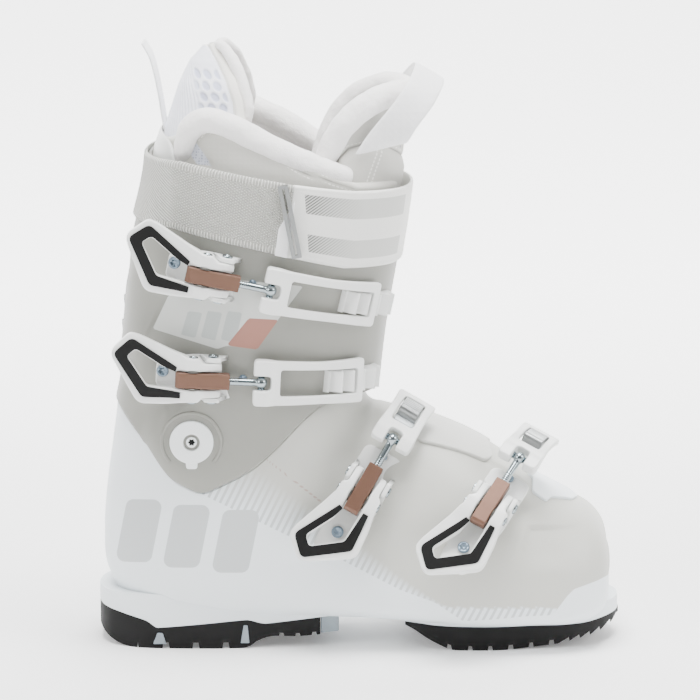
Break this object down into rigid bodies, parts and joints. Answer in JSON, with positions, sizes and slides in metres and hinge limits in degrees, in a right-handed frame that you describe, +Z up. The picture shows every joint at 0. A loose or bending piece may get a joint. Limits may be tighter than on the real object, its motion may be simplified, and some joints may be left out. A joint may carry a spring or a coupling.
{
  "type": "alpine ski boot",
  "caption": "Right-foot alpine ski boot with pivoting cuff, ratchet buckles, power strap, fleece-lined liner and bolt-on rockered soles.",
  "frame": {"origin": "centre of the heel sole's contact patch, straight below the cuff pivot", "axes": "+X towards the toe, +Y towards the inner side of the foot, +Z up"},
  "size_m": [0.295, 0.1328, 0.3409],
  "materials": {
    "shell_white": "satin",
    "cuff_grey": "satin",
    "gloss_white": "gloss",
    "sole_black": "matte",
    "spacer": "translucent",
    "steel": "polished",
    "rivet": "zinc",
    "bronze": "bronze",
    "black": "matte",
    "strap": "woven",
    "strap_smooth": "coated",
    "liner": "soft",
    "fleece": "plush",
    "webbing": "woven",
    "board": "foam"
  },
  "bodies": {
    "lever_1": {"lever_1": "gloss_white", "insert_1": "black", "pins_1": "steel"},
    "link_1": {"barrel_1": "bronze", "rod_1": "steel"},
    "frame_1": {"frame_1": "gloss_white"},
    "lever_2": {"lever_2": "gloss_white", "insert_2": "black", "pins_2": "steel"},
    "link_2": {"barrel_2": "bronze", "rod_2": "steel"},
    "frame_2": {"frame_2": "gloss_white"},
    "lever_3": {"lever_3": "gloss_white", "insert_3": "black", "pins_3": "steel"},
    "link_3": {"barrel_3": "bronze", "rod_3": "steel"},
    "frame_3": {"frame_3": "gloss_white"},
    "lever_4": {"lever_4": "gloss_white", "insert_4": "black", "pins_4": "steel"},
    "link_4": {"barrel_4": "bronze", "rod_4": "steel"},
    "frame_4": {"frame_4": "gloss_white"},
    "shell": {"lower_shell": "shell_white", "instep_flap": "shell_white", "toe_guard": "shell_white", "bootboard": "board", "heel_sole": "sole_black", "toe_sole": "sole_black", "heel_spacer": "spacer", "sole_screws": "steel", "pivot_screws": "steel", "pivot_nuts": "steel", "liner_foot": "liner", "footbed": "board", "shell_rivets": "rivet", "base_3": "gloss_white", "base_4": "gloss_white", "rack_3": "steel", "rack_4": "steel"},
    "cuff": {"cuff": "cuff_grey", "cuff_spoiler": "gloss_white", "spine_screws": "steel", "pivot_disc_medial": "gloss_white", "strap_rear": "strap", "strap_front": "strap_smooth", "strap_slider": "steel", "cuff_rivets": "rivet", "liner_shaft": "liner", "liner_tongue": "liner", "liner_collar": "fleece", "calf_pad": "fleece", "base_1": "gloss_white", "base_2": "gloss_white", "rack_1": "gloss_white", "rack_2": "gloss_white"},
    "alignment_disc": {"pivot_disc_lateral": "gloss_white"},
    "heel_loop": {"heel_pull_loop": "webbing"},
    "tongue_loop": {"tongue_pull_loop": "webbing"}
  },
  "joints": [
    {"name": "cuff_flex", "type": "hinge", "parent": "shell", "child": "cuff", "pos_m": [0, 0, 0.123], "axis": [0, 1, 0], "range_deg": [0, 5], "stiffness_Nm_per_rad": 120, "springref_deg": -0.57},
    {"name": "alignment_disc_turn", "type": "hinge", "parent": "cuff", "child": "alignment_disc", "pos_m": [0, -0.049, 0.123], "axis": [0, 1, 0], "range_deg": [-90, 90]},
    {"name": "lever_1_hinge", "type": "hinge", "parent": "cuff", "child": "lever_1", "pos_m": [0.018, -0.06, 0.217], "axis": [0.2164, 0, 0.9763], "range_deg": [0, 120]},
    {"name": "barrel_1_hinge", "type": "hinge", "parent": "lever_1", "child": "link_1", "pos_m": [0.00748, -0.06457, 0.21933], "axis": [0.2164, 0, 0.9763], "range_deg": [-120, 0]},
    {"name": "frame_1_hinge", "type": "hinge", "parent": "link_1", "child": "frame_1", "pos_m": [0.04433, -0.06259, 0.21116], "axis": [0.2164, 0, 0.9763], "range_deg": [-15, 0]},
    {"name": "lever_2_hinge", "type": "hinge", "parent": "cuff", "child": "lever_2", "pos_m": [0.012, -0.0582, 0.1605], "axis": [0.0523, 0, 0.9986], "range_deg": [0, 120]},
    {"name": "barrel_2_hinge", "type": "hinge", "parent": "lever_2", "child": "link_2", "pos_m": [0.00124, -0.06277, 0.16106], "axis": [0.0523, 0, 0.9986], "range_deg": [-120, 0]},
    {"name": "frame_2_hinge", "type": "hinge", "parent": "link_2", "child": "frame_2", "pos_m": [0.03894, -0.06079, 0.15909], "axis": [0.0523, 0, 0.9986], "range_deg": [-15, 0]},
    {"name": "lever_3_hinge", "type": "hinge", "parent": "shell", "child": "lever_3", "pos_m": [0.098, -0.0454, 0.0995], "axis": [-0.866, 0.1873, 0.4636], "range_deg": [0, 105]},
    {"name": "barrel_3_hinge", "type": "hinge", "parent": "lever_3", "child": "link_3", "pos_m": [0.0925, -0.05268, 0.09217], "axis": [-0.866, 0.1873, 0.4636], "range_deg": [-105, 0]},
    {"name": "frame_3_hinge", "type": "hinge", "parent": "link_3", "child": "frame_3", "pos_m": [0.1114, -0.04041, 0.12252], "axis": [-0.866, 0.1873, 0.4636], "range_deg": [-15, 0]},
    {"name": "lever_4_hinge", "type": "hinge", "parent": "shell", "child": "lever_4", "pos_m": [0.1683, -0.0505, 0.091], "axis": [-0.8572, 0.3171, 0.4059], "range_deg": [0, 115]},
    {"name": "barrel_4_hinge", "type": "hinge", "parent": "lever_4", "child": "link_4", "pos_m": [0.16264, -0.05946, 0.08603], "axis": [-0.8572, 0.3171, 0.4059], "range_deg": [-115, 0]},
    {"name": "frame_4_hinge", "type": "hinge", "parent": "link_4", "child": "frame_4", "pos_m": [0.1821, -0.03951, 0.11156], "axis": [-0.8572, 0.3171, 0.4059], "range_deg": [-15, 0]},
    {"name": "heel_loop_swing", "type": "hinge", "parent": "cuff", "child": "heel_loop", "pos_m": [-0.0215, 0, 0.294], "axis": [0, 1, 0], "range_deg": [-25, 10], "stiffness_Nm_per_rad": 0.02},
    {"name": "tongue_loop_swing", "type": "hinge", "parent": "cuff", "child": "tongue_loop", "pos_m": [0.108, 0, 0.283], "axis": [0, 1, 0], "range_deg": [-15, 35], "stiffness_Nm_per_rad": 0.1}
  ],
  "couplings": [
    {"joint": "barrel_1_hinge", "follows": "lever_1_hinge", "ratio": -1},
    {"joint": "frame_1_hinge", "follows": "lever_1_hinge", "ratio": -0.12},
    {"joint": "barrel_2_hinge", "follows": "lever_2_hinge", "ratio": -1},
    {"joint": "frame_2_hinge", "follows": "lever_2_hinge", "ratio": -0.12},
    {"joint": "barrel_3_hinge", "follows": "lever_3_hinge", "ratio": -1},
    {"joint": "frame_3_hinge", "follows": "lever_3_hinge", "ratio": -0.12},
    {"joint": "barrel_4_hinge", "follows": "lever_4_hinge", "ratio": -1},
    {"joint": "frame_4_hinge", "follows": "lever_4_hinge", "ratio": -0.12}
  ]
}
